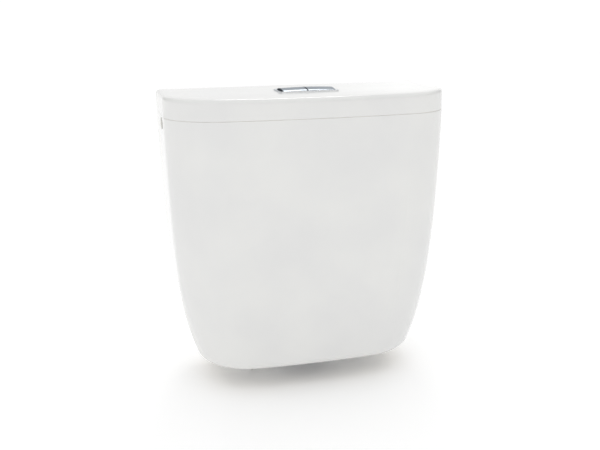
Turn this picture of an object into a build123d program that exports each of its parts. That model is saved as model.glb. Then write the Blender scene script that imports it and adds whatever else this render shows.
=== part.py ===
from build123d import *
import math
import os

# Close-coupled toilet cistern with a dual-flush button in its lid.
# X runs to the right as seen from the front, Y towards the wall, Z up.
# The origin is on the axis of the flush outlet, level with the foot rim.

# Tank
tank_half_width = 190.0
tank_depth = 183.0
seam_height = 346.0
side_draw = 38.5
front_draw = 32.0
wall_to_outlet = 72.0
corner_radius = 76.0
foot_corner_radius = 71.0
front_bow_radius = 1075.0
back_corner_radius = 7.0
tank_wall = 10.0
foot_rim_width = 22.0
foot_round = 10.0
foot_recess = 22.0
floor_thickness = 12.0
floor_round = 9.0
seam_round = 0.9
side_sharp_share = 0.6
side_curve_shares = (5.6, 1.54)
front_curve_share = 1.78
level_count = 9
foot_round_degrees = (0, 20, 40, 60, 78)

# Holes through the ceramic
ceramic_clearance = 2.3
wall_hole_radius = 4.0
wall_hole_spacing = 180.0
wall_hole_drop = 50.0
side_hole_drop = 10.5
side_hole_setback = 75.0

# Lid
lid_height = 28.0
lid_top_round = 6.0
lid_fall = 2.4
lid_fall_reach = 48.0
lid_wall = 14.0
lid_plate = 10.0
lid_under_round = 3.0
lug_gap = 2.5
lug_thickness = 6.0
lug_length = 34.0
lug_depth = 7.0
lug_spacing = 210.0

# Dual-flush button
button_setback = 103.0
plate_width = 71.0
plate_depth = 41.0
plate_bow = 0.9
plate_corner = 2.6
plate_skirt = 3.5
plate_skirt_wall = 1.5
plate_edge_height = 1.2
plate_sink = 0.2
plate_edge_round = 0.4
crown_rise = 0.9
cushion_rise = 2.8
split_offset = 2.5
split_gap = 0.8
button_travel = 8.0
button_clearance = 0.3
bezel_rim = 3.2
bezel_height = 1.5
bezel_round = 0.4
housing_wall = 1.0
housing_flange = 1.4
housing_flange_height = 0.8
housing_floor = 2.0
travel_spare = 2.1
housing_cover = 0.1
guide_tube_wall = 1.7
guide_tube_length = 13.0
bridge_margin = 8.0
bridge_floor = 3.0
clamp_stud_radius = 2.5
clamp_stud_offset = 29.5
clamp_stud_length = 17.0
clamp_nut_radius = 6.4
clamp_nut_height = 8.0
clamp_nut_flutes = 8
clamp_flute_radius = 1.1

# Push rods and their springs
rod_offset = 16.0
rod_setforward = 4.0
rod_radius = 3.0
rod_in_stem = 13.0
stem_wall = 1.8
stem_length = 24.0
spring_wire_radius = 0.5
spring_gap = 0.1
spring_turns = 3.5
spring_clearance = 0.35

# Flush valve base
outlet_bore_radius = 25.0
spigot_radius = 29.7
spigot_drop = 14.0
outlet_seal_thickness = 3.0
base_flange_radius = 43.0
base_flange_thickness = 4.0
seat_lip_height = 5.0
seat_inner_radius = 27.0
seat_lip_width = 2.0
throat_below_seat = 6.0
pillar_count = 6
pillar_width_degrees = 14.0
window_height = 15.0
bayonet_inner_radius = 36.0
bayonet_outer_radius = 42.0
bayonet_height = 6.0
hook_count = 3
hook_width_degrees = 20.0
hook_wall = 2.4
hook_lip = 1.8
hook_lip_height = 2.6

# Seals and nuts under the tank
thread_clearance = 0.1
back_nut_radius = 36.0
back_nut_height = 10.0
back_nut_lugs = 8
back_nut_lug_height = 2.4
back_nut_lug_width = 9.0
gasket_radius = 50.0
gasket_foot_radius = 46.0
gasket_drop = 7.0
gasket_taper_height = 11.0
gasket_clearance = 1.0

# Overflow tube with its seal
tube_radius = 13.0
tube_wall = 2.0
tube_above_collar = 13.5
seal_flange_radius = 33.0
seal_flange_thickness = 3.0
seal_cone_height = 9.0
seat_seal_thickness = 3.0
seal_keeper_radius = 18.0
seal_keeper_thickness = 2.5
collar_radius = 18.0
collar_thickness = 3.0
catch_radius = 15.5
catch_thickness = 2.5

# Tower
tower_height = 186.0
tower_ring_height = 6.0
column_count = 4
column_inset = 0.9
column_thickness = 3.6
column_width_degrees = 20.0
hoop_share = 0.48
hoop_height = 5.0
hoop_wall = 3.0
spoke_width = 5.0
head_plate_thickness = 4.0
head_plate_radius = 41.0
ear_end_radius = 6.0
slide_clearance = 0.3
ear_thickness = 4.0
ear_width = 12.0

# Rockers in the head
pivot_rise = 14.0
pivot_in_front = 6.0
pin_radius = 1.6
running_clearance = 0.05
hub_radius = 4.0
tine_rise = 4.2
tine_width = 4.0
tine_tip_radius = 2.1
lift_gap = 0.3
hub_side_gap = 0.6
rocker_gap = 0.8
pad_half_width = 7.2
pad_rise = 2.0
pad_thickness = 3.0
pad_reach = 6.0
finger_clearance = 2.2

# Flush floats
float_rod_offset = 52.0
float_rod_radius = 3.0
float_rod_socket = 4.0
float_rod_head = 4.5
float_rod_head_height = 2.0
float_width = 22.0
float_depth = 36.0
float_height = 42.0
float_wall = 1.5
float_corner = 4.0
sleeve_wall = 1.5
float_travel = 10.0
full_stop_share = 0.09
half_stop_share = 0.515
stop_clip_radius = 6.5
stop_clip_height = 6.0
latch_width = 8.0
latch_thickness = 3.0
held_lift = 6.0
latch_clearance = 1.4

# Fill valve
fill_valve_offset = 112.0
fill_valve_behind = 8.0
tail_radius = 10.4
tail_neck_radius = 10.8
tail_relief_radius = 9.8
tail_relief_height = 2.0
tail_drop = 16.0
tail_bore_radius = 6.0
inlet_washer_radius = 18.0
inlet_washer_thickness = 2.0
shank_flange_radius = 20.0
shank_flange_thickness = 4.0
outer_riser_radius = 11.0
inner_riser_radius = 9.0
inner_riser_bore = 6.5
riser_overlap = 60.0
lock_ring_radius = 15.0
lock_ring_height = 12.0
lock_ring_flutes = 12
lock_flute_radius = 1.2
valve_height = 212.0
valve_head_radius = 15.0
valve_head_height = 20.0
diaphragm_thickness = 1.5
diaphragm_radius = 13.0
cap_wall = 2.4
cap_skirt = 9.0
cap_plate = 4.0
cap_ribs = 12
cap_rib_height = 0.8
pilot_hole_radius = 1.2
inlet_nut_across = 32.0
inlet_nut_height = 8.0
filter_length = 22.0
filter_wall = 0.9
filter_tip_radius = 3.0
filter_slots = 4
filter_slot_width = 1.4

# Fill float and its lever
fill_float_radius = 28.0
fill_float_height = 48.0
fill_float_wall = 1.5
fill_float_plate = 2.0
fill_float_travel = 14.0
fill_float_headroom = 10.0
float_to_ring = 27.6
fill_sleeve_wall = 2.0
lever_length = 32.0
lever_pivot_setback = 10.0
lever_pivot_rise = 8.0
lever_pin_radius = 1.5
lever_hub_radius = 4.0
lever_end_radius = 3.4
lever_width = 10.0
fork_gap = 5.2
nose_radius = 1.6
nose_drop = 3.5
lever_ear_thickness = 2.5
lever_side_gap = 0.5
adjusting_rod_radius = 2.0
cross_pin_radius = 1.5
slot_clearance = 0.4
lug_plate_thickness = 4.0
lug_plate_width = 9.0
rod_below_lug = 18.0
rod_nut_radius = 4.2
rod_nut_height = 4.0

# Cistern bolts
bolt_spacing = 156.0
bolt_neck_radius = 3.9
bolt_thread_radius = 4.0
bolt_drop = 30.0
bolt_hole_radius = 6.0
bolt_hole_clearance = 0.2
bolt_head_radius = 9.0
bolt_head_height = 5.0
bolt_head_slot = 1.6
bolt_rubber_radius = 13.0
bolt_rubber_thickness = 4.0
bolt_under_radius = 12.0
bolt_under_thickness = 3.0
bolt_steel_radius = 10.0
bolt_steel_thickness = 1.6
bolt_nut_across = 13.0
bolt_nut_height = 6.5
bolt_thread_start = 2.0

# Plug in the side hole
side_hole_radius = 5.5
plug_stem_clearance = 0.5
plug_cap_radius = 8.0
plug_cap_height = 1.5
plug_seat_gap = 0.1
plug_thread_length = 7.0
plug_nut_across = 15.0
plug_nut_height = 4.5

# One overrun for every cut that runs past a face
overrun = 1.0

# Levels and places that follow from the sizes above
back_y = wall_to_outlet
front_y = wall_to_outlet - tank_depth
floor_top = foot_recess + floor_thickness
lid_top = seam_height + lid_height
lid_under = lid_top - lid_plate
button_y = back_y - button_setback
rod_y = button_y - rod_setforward
outlet_hole_radius = spigot_radius + ceramic_clearance
inlet_hole_radius = tail_neck_radius + ceramic_clearance

flange_low = floor_top + outlet_seal_thickness
flange_high = flange_low + base_flange_thickness
seat_height = flange_high + seat_lip_height
window_top = flange_high + window_height
bayonet_top = window_top + bayonet_height
ring_top = bayonet_top + tower_ring_height
head_top = bayonet_top + tower_height
head_low = head_top - head_plate_thickness
pivot_y = -tube_radius - pivot_in_front
pivot_z = head_top + pivot_rise
collar_low = pivot_z + tine_rise + lift_gap
collar_high = collar_low + collar_thickness
tube_top = collar_high + tube_above_collar
pad_top = pivot_z + pad_rise
catch_gap = float_travel - held_lift

housing_depth = plate_skirt + plate_sink + button_travel + travel_spare
housing_floor_top = lid_top - housing_depth
housing_low = housing_floor_top - housing_floor
plate_low = lid_top - plate_sink
stem_low = plate_low - stem_length
rod_low = pad_top + lift_gap
stem_bore = rod_radius + running_clearance
stem_radius = rod_radius + stem_wall
guide_bore = stem_radius + button_clearance
guide_radius = guide_bore + guide_tube_wall
housing_width = plate_width + 2 * button_clearance
housing_inner_depth = plate_depth + 2 * button_clearance
housing_outer_width = housing_width + 2 * housing_wall
housing_outer_depth = housing_inner_depth + 2 * housing_wall
pocket_width = housing_outer_width + 2 * button_clearance
pocket_depth = housing_outer_depth + 2 * button_clearance
crown_radius = (plate_width ** 2 / 4 + crown_rise ** 2) / (2 * crown_rise)
cushion_radius = (plate_depth ** 2 / 4 + cushion_rise ** 2) / (2 * cushion_rise)
plate_top = lid_top + plate_edge_height + crown_rise + cushion_rise

fill_x = fill_valve_offset
fill_y = fill_valve_behind
shank_flange_low = floor_top + inlet_washer_thickness
shank_flange_high = shank_flange_low + shank_flange_thickness
valve_head_low = shank_flange_high + valve_height
valve_head_top = valve_head_low + valve_head_height
cap_plate_low = valve_head_top + diaphragm_thickness
cap_top = cap_plate_low + cap_plate
lever_y = fill_y - lever_pivot_setback
lever_z = cap_top + lever_pivot_rise
float_rod_y = lever_y - lever_length
float_swing = math.degrees(math.asin(fill_float_travel / 2 / lever_length))
fill_float_top = valve_head_low - fill_float_headroom - fill_float_travel
fill_float_low = fill_float_top - fill_float_height
outer_riser_top = fill_float_low - float_to_ring - cap_wall

tower_span = head_low - ring_top
stop_heights = {
    "full": ring_top + full_stop_share * tower_span,
    "half": ring_top + half_stop_share * tower_span,
}


def rod(radius, low, high, x=0, y=0):
    """An upright cylinder between two levels."""
    shape = Cylinder(radius, high - low, align=(Align.CENTER, Align.CENTER, Align.MIN))
    return Pos(x, y, low) * shape


def pipe(outer, inner, low, high, x=0, y=0):
    """An upright ring between two levels."""
    return rod(outer, low, high, x, y) - rod(inner, low - overrun, high + overrun, x, y)


def cross_rod(radius, left, right, y, z):
    """A cylinder along X."""
    shape = Cylinder(radius, right - left)
    return Pos((left + right) / 2, y, z) * Rot(0, 90, 0) * shape


def block(x_range, y_range, z_range):
    """A box between named faces."""
    middle = [(a + b) / 2 for a, b in (x_range, y_range, z_range)]
    size = [b - a for a, b in (x_range, y_range, z_range)]
    return Pos(*middle) * Box(*size)


def turned(points, x=0, y=0):
    """A body turned about an upright axis from its (radius, height) outline."""
    edge = Polyline(*[(r, 0, z) for r, z in points], close=True)
    return Pos(x, y, 0) * revolve(make_face(edge), Axis.Z)


def turned_sector(points, angle, width):
    """Part of a turned body, centred on an angle."""
    edge = Polyline(*[(r, 0, z) for r, z in points], close=True)
    return Rot(0, 0, angle - width / 2) * revolve(make_face(edge), Axis.Z, width)


def arc_bar(inner, outer, low, high, angle, width):
    """A bar of rectangular section that follows a circle."""
    return turned_sector([(inner, low), (outer, low), (outer, high), (inner, high)], angle, width)


def around(count, radius, x=0, y=0):
    """Equally spaced places on a circle."""
    places = []
    for i in range(count):
        angle = 2 * math.pi * i / count
        places.append((x + radius * math.cos(angle), y + radius * math.sin(angle)))
    return places


def hex_nut(across, bore, low, high, x=0, y=0):
    """A hexagon nut with its corners chamfered."""
    corner = across / math.sqrt(3)
    hexagon = extrude(RegularPolygon(corner, 6), high - low)
    blank = Pos(x, y, low) * hexagon
    edge = (corner - across / 2) / 2
    profile = [
        (0, low),
        (corner - edge, low),
        (corner, low + edge),
        (corner, high - edge),
        (corner - edge, high),
        (0, high),
    ]
    return (blank & turned(profile, x, y)) - rod(bore, low - overrun, high + overrun, x, y)


def write(name, *solids):
    """One node, as one solid or a group of separate solids."""
    if len(solids) == 1:
        shape = solids[0]
    else:
        shape = Compound(children=[s.solid() for s in solids])
    shape.label = name
    export_step(shape, os.path.join("parts", name + ".step"))


def tank_outline(half_width, front, corner, inset, extra_back=0):
    """The plan of the tank: flat back, straight sides, round front corners and a bowed front."""
    a = half_width - inset
    low = front + inset
    back = back_y - inset + extra_back
    r = corner - inset
    bow = front_bow_radius - inset
    back_r = max(back_corner_radius - inset, back_corner_radius / 2)
    bow_centre = low + bow
    corner_y = bow_centre - math.sqrt((bow - r) ** 2 - (a - r) ** 2)
    reach = bow / (bow - r)
    meet = ((a - r) * reach, bow_centre + (corner_y - bow_centre) * reach)
    turn = math.atan2(meet[1] - corner_y, meet[0] - (a - r)) / 2
    middle = (a - r + r * math.cos(turn), corner_y + r * math.sin(turn))
    half = back_r * (1 - math.sqrt(0.5))
    right = (a, back - back_r)
    edges = [
        ThreePointArc((-meet[0], meet[1]), (0, low), meet),
        ThreePointArc(meet, middle, (a, corner_y)),
        Line((a, corner_y), right),
        ThreePointArc(right, (a - half, back - half), (a - back_r, back)),
        Line((a - back_r, back), (-a + back_r, back)),
        ThreePointArc((-a + back_r, back), (-a + half, back - half), (-a, back - back_r)),
        Line((-a, back - back_r), (-a, corner_y)),
        ThreePointArc((-a, corner_y), (-middle[0], middle[1]), (-meet[0], meet[1])),
    ]
    return make_face(edges)


def side_drawn_share(height):
    """How far the sides have come in at a level, as a share of their draw at the foot."""
    below = max(0, 1 - height / seam_height)
    sharp, slow = side_curve_shares
    return side_sharp_share * below ** sharp + (1 - side_sharp_share) * below ** slow


def tank_plan(height, inset, extra_back):
    """The plan of the tank at one level."""
    side = side_drawn_share(height)
    front = max(0, 1 - height / seam_height) ** front_curve_share
    corner = corner_radius + (foot_corner_radius - corner_radius) * side
    half_width = tank_half_width - side_draw * side
    plan = tank_outline(half_width, front_y + front_draw * front, corner, inset, extra_back)
    return Pos(0, 0, height) * plan


def tank_form(low, high, inset, foot=0, extra_back=0):
    """The tapering form of the tank between two levels, drawn in evenly, with a rounded foot."""
    levels = [low + foot + (high - low - foot) * i / (level_count - 1) for i in range(level_count)]
    form = loft([tank_plan(level, inset, extra_back) for level in levels])
    if foot == 0:
        return form
    turns = [math.radians(angle) for angle in foot_round_degrees]
    last = turns[-1]
    sections = []
    for turn in turns:
        rise = foot * (1 - math.cos(turn)) / (1 - math.cos(last))
        draw = foot * (1 - math.sin(turn) / math.sin(last))
        sections.append(tank_plan(low + rise, inset + draw, extra_back))
    return form + loft(sections)


def back_trim():
    """What lies behind the wall plane."""
    reach = tank_half_width + tank_depth
    return block((-reach, reach), (back_y, back_y + tank_depth), (-tank_depth, lid_top + overrun))


def bottom_edges(shape):
    return shape.edges().group_by(Axis.Z)[0]


def top_edges(shape):
    return shape.edges().group_by(Axis.Z)[-1]


def cistern_body():
    outer = tank_form(0, seam_height, 0, foot_round, overrun) - back_trim()
    outer = fillet(top_edges(outer), seam_round)
    recess = tank_form(-overrun, foot_recess, foot_rim_width)
    water_space = tank_form(floor_top, seam_height + overrun, tank_wall, floor_round)
    body = outer - recess - water_space
    low, high = foot_recess - overrun, floor_top + overrun
    body = body - rod(outlet_hole_radius, low, high)
    body = body - rod(inlet_hole_radius, low, high, fill_x, fill_y)
    for side in (-1, 1):
        body = body - rod(bolt_hole_radius, low, high, side * bolt_spacing / 2)
        body = body - wall_drill(side * wall_hole_spacing / 2)
    body = body - side_drill(side_hole_radius, -tank_half_width - overrun, -tank_half_width + 2 * tank_wall)
    return body


def wall_drill(x):
    """A cylinder through the back at a wall hole."""
    drill = Rot(90, 0, 0) * Cylinder(wall_hole_radius, 2 * (tank_wall + overrun))
    return Pos(x, back_y, seam_height - wall_hole_drop) * drill


def side_drill(radius, left, right):
    """A cylinder along X on the axis of the side hole."""
    return cross_rod(radius, left, right, back_y - side_hole_setback, seam_height - side_hole_drop)


def cistern_lid():
    plan = tank_outline(tank_half_width, front_y, corner_radius, 0, overrun)
    outer = Pos(0, 0, seam_height) * extrude(plan, lid_height) - back_trim() - above_fall()
    outer = fillet(rim_edges(outer), lid_top_round)
    outer = fillet(bottom_edges(outer), seam_round)
    hollow_plan = tank_outline(tank_half_width, front_y, corner_radius, lid_wall)
    hollow = Pos(0, 0, seam_height - overrun) * extrude(hollow_plan, lid_height - lid_plate + overrun)
    hollow = fillet(top_edges(hollow), lid_under_round)
    lid = outer - hollow
    for side in (-1, 1):
        lid = lid + locating_lugs(side)
    return lid - button_slab(pocket_width, pocket_depth, lid_under - overrun, lid_top + overrun)


def above_fall():
    """What lies above the lid's front, which falls away to its edge."""
    start = front_y + lid_fall_reach
    radius = (lid_fall_reach ** 2 + lid_fall ** 2) / (2 * lid_fall)
    reach = lid_fall_reach + overrun
    ahead = (start - reach, lid_top - radius + math.sqrt(radius ** 2 - reach ** 2))
    midway = (start - reach / 2, lid_top - radius + math.sqrt(radius ** 2 - reach ** 2 / 4))
    high = lid_top + lid_fall
    edges = [
        ThreePointArc((start, lid_top), midway, ahead),
        Line(ahead, (ahead[0], high)),
        Line((ahead[0], high), (start, high)),
        Line((start, high), (start, lid_top)),
    ]
    plane = Plane(origin=(-tank_half_width - overrun, 0, 0), x_dir=(0, 1, 0), z_dir=(1, 0, 0))
    return extrude(plane * make_face(edges), 2 * (tank_half_width + overrun))


def rim_edges(shape):
    """The edges round the lid's top, without the line where its front starts to fall."""
    high = [edge for edge in shape.edges() if edge.center().Z > lid_top - lid_fall - overrun]
    level = [edge for edge in high if edge.bounding_box().size.Z < lid_fall + overrun]
    return [edge for edge in level if edge.bounding_box().size.X < 2 * tank_half_width - overrun]


def locating_lugs(side):
    """The front and the back lug on one side, which follow the inside of the tank."""
    near = tank_wall + lug_gap
    outside = tank_outline(tank_half_width, front_y, corner_radius, near)
    inside = tank_outline(tank_half_width, front_y, corner_radius, near + lug_thickness)
    low, high = seam_height - lug_depth, lid_under + overrun
    band = Pos(0, 0, low) * extrude(outside - inside, high - low)
    middle = side * lug_spacing / 2
    x_range = (middle - lug_length / 2, middle + lug_length / 2)
    return band & block(x_range, (front_y, back_y), (low, high))


def barrel(width, depth):
    """A rectangle with rounded corners whose long sides bow outwards."""
    x, y, middle = width / 2, depth / 2 - plate_bow, depth / 2
    edges = [
        ThreePointArc((-x, -y), (0, -middle), (x, -y)),
        Line((x, -y), (x, y)),
        ThreePointArc((x, y), (0, middle), (-x, y)),
        Line((-x, y), (-x, -y)),
    ]
    face = make_face(edges)
    return fillet(face.vertices(), plate_corner)


def cushion():
    """A ring body about Y whose top is the cushion-shaped top of the plates."""
    ring = Torus(crown_radius - cushion_radius, cushion_radius)
    return Pos(0, button_y, plate_top - crown_radius) * Rot(90, 0, 0) * ring


def button_slab(width, depth, low, high):
    """The bowed outline of the button between two levels."""
    return Pos(0, button_y, low) * extrude(barrel(width, depth), high - low)


def button_bezel():
    top = lid_top + bezel_height
    width, depth = housing_width + 2 * bezel_rim, housing_inner_depth + 2 * bezel_rim
    outer = button_slab(width, depth, lid_top, top)
    seat_width = housing_outer_width + 2 * (housing_flange + housing_cover)
    seat_depth = housing_outer_depth + 2 * (housing_flange + housing_cover)
    seat_high = lid_top + housing_flange_height + housing_cover
    seat = button_slab(seat_width, seat_depth, lid_top - overrun, seat_high)
    bezel = outer - button_slab(housing_width, housing_inner_depth, lid_top - overrun, top + overrun) - seat
    return fillet(top_edges(bezel), bezel_round)


def top_edges_of(shape, level):
    """Edges that lie wholly above a level."""
    return [edge for edge in shape.edges() if edge.bounding_box().min.Z > level]


def button_housing():
    shell = button_slab(housing_outer_width, housing_outer_depth, housing_low, lid_top)
    flange_width = housing_outer_width + 2 * housing_flange
    flange_depth = housing_outer_depth + 2 * housing_flange
    shell = shell + button_slab(flange_width, flange_depth, lid_top, lid_top + housing_flange_height)
    above = lid_top + housing_depth
    shell = shell - button_slab(housing_width, housing_inner_depth, housing_floor_top, above)
    guide_low = housing_floor_top - guide_tube_length
    stud_low = housing_low - clamp_stud_length
    for side in (-1, 1):
        x = side * rod_offset
        shell = shell + rod(guide_radius, guide_low, housing_floor_top, x, rod_y)
        shell = shell - rod(guide_bore, guide_low - overrun, housing_floor_top + overrun, x, rod_y)
        shell = shell + rod(clamp_stud_radius, stud_low, housing_low, side * clamp_stud_offset, button_y)
    return shell


def button_bridge_plate():
    low = housing_low - bridge_floor
    plate = button_slab(pocket_width + 2 * bridge_margin, pocket_depth + 2 * bridge_margin, low, lid_under)
    plate = plate - button_slab(pocket_width, pocket_depth, housing_low, lid_under + overrun)
    low_cut, high_cut = low - overrun, housing_low + overrun
    guide_hole = guide_radius + button_clearance
    stud_hole = clamp_stud_radius + button_clearance
    for side in (-1, 1):
        plate = plate - rod(guide_hole, low_cut, high_cut, side * rod_offset, rod_y)
        plate = plate - rod(stud_hole, low_cut, high_cut, side * clamp_stud_offset, button_y)
    return plate


def button_clamp_nut(side):
    x, high = side * clamp_stud_offset, housing_low - bridge_floor
    low = high - clamp_nut_height
    nut = pipe(clamp_nut_radius, clamp_stud_radius + thread_clearance, low, high, x, button_y)
    for fx, fy in around(clamp_nut_flutes, clamp_nut_radius, x, button_y):
        nut = nut - rod(clamp_flute_radius, low - overrun, high + overrun, fx, fy)
    return nut


def button_plate(side):
    """One chromed plate with its skirt and stem: side 1 is the full flush, side -1 the half flush."""
    skirt_low = plate_low - plate_skirt
    slab = button_slab(plate_width, plate_depth, skirt_low, plate_top) & cushion()
    slab = fillet(top_edges_of(slab, plate_low + plate_edge_height / 2), plate_edge_round)
    inner_width = plate_width - 2 * plate_skirt_wall
    inner_depth = plate_depth - 2 * plate_skirt_wall
    inner = button_slab(inner_width, inner_depth, skirt_low - overrun, plate_low)
    near = -split_offset + side * split_gap / 2
    far = side * plate_width
    y_range = (button_y - plate_depth, button_y + plate_depth)
    z_range = (stem_low, plate_top + overrun)
    half = block(sorted((near, far)), y_range, z_range)
    inner_half = block(sorted((near + side * plate_skirt_wall, far)), y_range, z_range)
    plate = (slab & half) - (inner & inner_half)
    x = side * rod_offset
    stem = rod(stem_radius, stem_low, plate_low, x, rod_y)
    bore = rod(stem_bore, stem_low - overrun, stem_low + rod_in_stem + overrun, x, rod_y)
    return plate + stem - bore


def push_rod(side):
    """A round rod with a domed tip, held in the plate's stem."""
    x = side * rod_offset
    tip = Pos(x, rod_y, rod_low + rod_radius) * Sphere(rod_radius)
    return tip + rod(rod_radius, rod_low + rod_radius, stem_low + rod_in_stem, x, rod_y)


def button_spring(side):
    """A coil between the housing floor and the underside of the plate."""
    low = housing_floor_top + spring_wire_radius + spring_gap
    high = plate_low - spring_wire_radius - spring_gap
    radius = stem_radius + spring_clearance + spring_wire_radius + button_clearance
    path = Helix((high - low) / spring_turns, high - low, radius)
    start = Plane(path @ 0, z_dir=path % 0)
    coil = sweep(start * Circle(spring_wire_radius), path, is_frenet=True)
    return Pos(side * rod_offset, rod_y, low) * coil


def flush_valve_base():
    throat_high = seat_height - throat_below_seat
    profile = [
        (outlet_bore_radius, -spigot_drop),
        (spigot_radius, -spigot_drop),
        (spigot_radius, flange_low),
        (base_flange_radius, flange_low),
        (base_flange_radius, flange_high),
        (seat_inner_radius + seat_lip_width, flange_high),
        (seat_inner_radius + seat_lip_width, seat_height),
        (seat_inner_radius, seat_height),
        (seat_inner_radius, throat_high),
        (outlet_bore_radius, throat_high),
    ]
    base = turned(profile)
    column_inner = (bayonet_inner_radius + bayonet_outer_radius) / 2
    for i in range(pillar_count):
        angle = 360 * i / pillar_count
        bar = (column_inner, bayonet_outer_radius, flange_high, window_top, angle, pillar_width_degrees)
        base = base + arc_bar(*bar)
    return base + pipe(bayonet_outer_radius, bayonet_inner_radius, window_top, bayonet_top)


def outlet_seal_washer():
    return pipe(base_flange_radius, spigot_radius + thread_clearance, floor_top, flange_low)


def outlet_back_nut():
    low = foot_recess - back_nut_height
    nut = pipe(back_nut_radius, spigot_radius + thread_clearance, low, foot_recess)
    lug_outer = back_nut_radius + back_nut_lug_height
    lugs = pipe(lug_outer, back_nut_radius - overrun, low, foot_recess)
    half_width = back_nut_lug_width / 2
    bar = block((0, 2 * lug_outer), (-half_width, half_width), (low, foot_recess))
    for i in range(back_nut_lugs):
        nut = nut + (lugs & (Rot(0, 0, 360 * i / back_nut_lugs) * bar))
    return nut


def pan_gasket():
    nut_low = foot_recess - back_nut_height - gasket_clearance
    wide = back_nut_radius + back_nut_lug_height + gasket_clearance
    narrow = spigot_radius + gasket_clearance
    return turned(
        [
            (wide, foot_recess),
            (gasket_radius, foot_recess),
            (gasket_radius, gasket_taper_height - gasket_drop),
            (gasket_foot_radius, -gasket_drop),
            (narrow, -gasket_drop),
            (narrow, nut_low),
            (wide, nut_low),
        ]
    )


def overflow_tube():
    seal_top = seat_height + seat_seal_thickness
    flange_top = seal_top + seal_flange_thickness
    bore = tube_radius - tube_wall
    profile = [
        (bore, seat_height - seal_keeper_thickness),
        (seal_keeper_radius, seat_height - seal_keeper_thickness),
        (seal_keeper_radius, seat_height),
        (tube_radius, seat_height),
        (tube_radius, seal_top),
        (seal_flange_radius, seal_top),
        (seal_flange_radius, flange_top),
        (tube_radius, flange_top + seal_cone_height),
    ]
    for stop in stop_heights.values():
        catch_low = stop + float_height + catch_gap
        profile += [
            (tube_radius, catch_low),
            (catch_radius, catch_low),
            (catch_radius, catch_low + catch_thickness),
            (tube_radius, catch_low + catch_thickness),
        ]
    profile += [
        (tube_radius, collar_low),
        (collar_radius, collar_low),
        (collar_radius, collar_high),
        (tube_radius, collar_high),
        (tube_radius, tube_top),
        (bore, tube_top),
    ]
    return turned(profile)


def seat_seal():
    inner = tube_radius + running_clearance
    return pipe(seal_flange_radius, inner, seat_height, seat_height + seat_seal_thickness)


def eared_disc(radius, low, high):
    """A disc with an ear on each side for the float rods."""
    reach = ear_end_radius
    outline = make_hull(
        Circle(radius).edges()
        + (Pos(float_rod_offset, 0) * Circle(reach)).edges()
        + (Pos(-float_rod_offset, 0) * Circle(reach)).edges()
    )
    return Pos(0, 0, low) * extrude(outline, high - low)


def bayonet_hook(angle):
    """A claw on the tower's ring that reaches under the ring of the base."""
    inside = bayonet_outer_radius + slide_clearance
    outside = inside + hook_wall
    lip_high = window_top - slide_clearance
    lip_low = lip_high - hook_lip_height
    profile = [
        (bayonet_outer_radius - hook_wall, bayonet_top),
        (inside, bayonet_top),
        (inside, lip_high),
        (bayonet_outer_radius - hook_lip, lip_high),
        (bayonet_outer_radius - hook_lip, lip_low),
        (outside, lip_low),
        (outside, ring_top),
        (bayonet_outer_radius - hook_wall, ring_top),
    ]
    return turned_sector(profile, angle, hook_width_degrees)


def tower_hoop():
    """The middle hoop with its guide for the tube and its spokes."""
    low = ring_top + hoop_share * tower_span
    high = low + hoop_height
    outer = bayonet_inner_radius + column_inset + column_thickness / 2
    guide = tube_radius + slide_clearance
    hoop = pipe(outer, outer - hoop_wall, low, high)
    x_range = (guide + hoop_wall / 2, outer - hoop_wall / 2)
    for i in range(column_count):
        spoke = block(x_range, (-spoke_width / 2, spoke_width / 2), (low, high))
        hoop = hoop + Rot(0, 0, 360 * (i + 0.5) / column_count) * spoke
    return hoop + pipe(guide + hoop_wall, guide, low, high)


def flush_valve_tower():
    tower = eared_disc(bayonet_outer_radius, bayonet_top, ring_top)
    for i in range(hook_count):
        tower = tower + bayonet_hook(360 * (i + 0.25) / hook_count)
    tower = tower - rod(bayonet_inner_radius, bayonet_top - overrun, ring_top + overrun)
    inner = bayonet_inner_radius + column_inset
    outer = inner + column_thickness
    for i in range(column_count):
        angle = 360 * (i + 0.5) / column_count
        tower = tower + arc_bar(inner, outer, ring_top, head_low, angle, column_width_degrees)
    tower = tower + eared_disc(head_plate_radius, head_low, head_top) + tower_hoop()
    tower = tower - rod(tube_radius + slide_clearance, head_low - overrun, head_top + overrun)
    hole = float_rod_radius + running_clearance
    for side in (-1, 1):
        x = side * float_rod_offset
        tower = tower - rod(hole, head_low - overrun, head_top + overrun, x)
        tower = tower - rod(hole, ring_top - float_rod_socket, ring_top + overrun, x)
        tower = tower + rocker_ear(side)
    return tower


def rocker_ear(side):
    """An upright ear that carries one end of the rocker pin."""
    left, right = sorted((side * ear_face(), side * (ear_face() + ear_thickness)))
    half_width = ear_width / 2
    foot = block((left, right), (pivot_y - half_width, pivot_y + half_width), (head_top - overrun, pivot_z))
    top = cross_rod(half_width, left, right, pivot_y, pivot_z)
    bore = cross_rod(pin_radius + running_clearance, left - overrun, right + overrun, pivot_y, pivot_z)
    return foot + top - bore


def hub_end():
    """How far the rockers' hubs reach on each side of the axis of the valve."""
    return rod_offset + pad_half_width


def ear_face():
    return hub_end() + hub_side_gap


def rocker_pin():
    reach = ear_face() + ear_thickness
    return cross_rod(pin_radius, -reach, reach, pivot_y, pivot_z)


def swung_arm(x_range, length, tip_radius, tip_rise):
    """An arm from the hub towards the wall, tapering to a round tip."""
    hub = Circle(hub_radius)
    tip = Pos(length, tip_rise) * Circle(tip_radius)
    outline = make_hull(hub.edges() + tip.edges())
    plane = Plane(origin=(x_range[0], pivot_y, pivot_z), x_dir=(0, 1, 0), z_dir=(1, 0, 0))
    return extrude(plane * outline, x_range[1] - x_range[0])


def pad(x_range):
    """The flat pad under a push rod."""
    y_range = (rod_y - pad_reach, pivot_y)
    return block(x_range, y_range, (pad_top - pad_thickness, pad_top))


def hub_bore():
    reach = ear_face()
    return cross_rod(pin_radius + running_clearance, -reach, reach, pivot_y, pivot_z)


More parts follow.
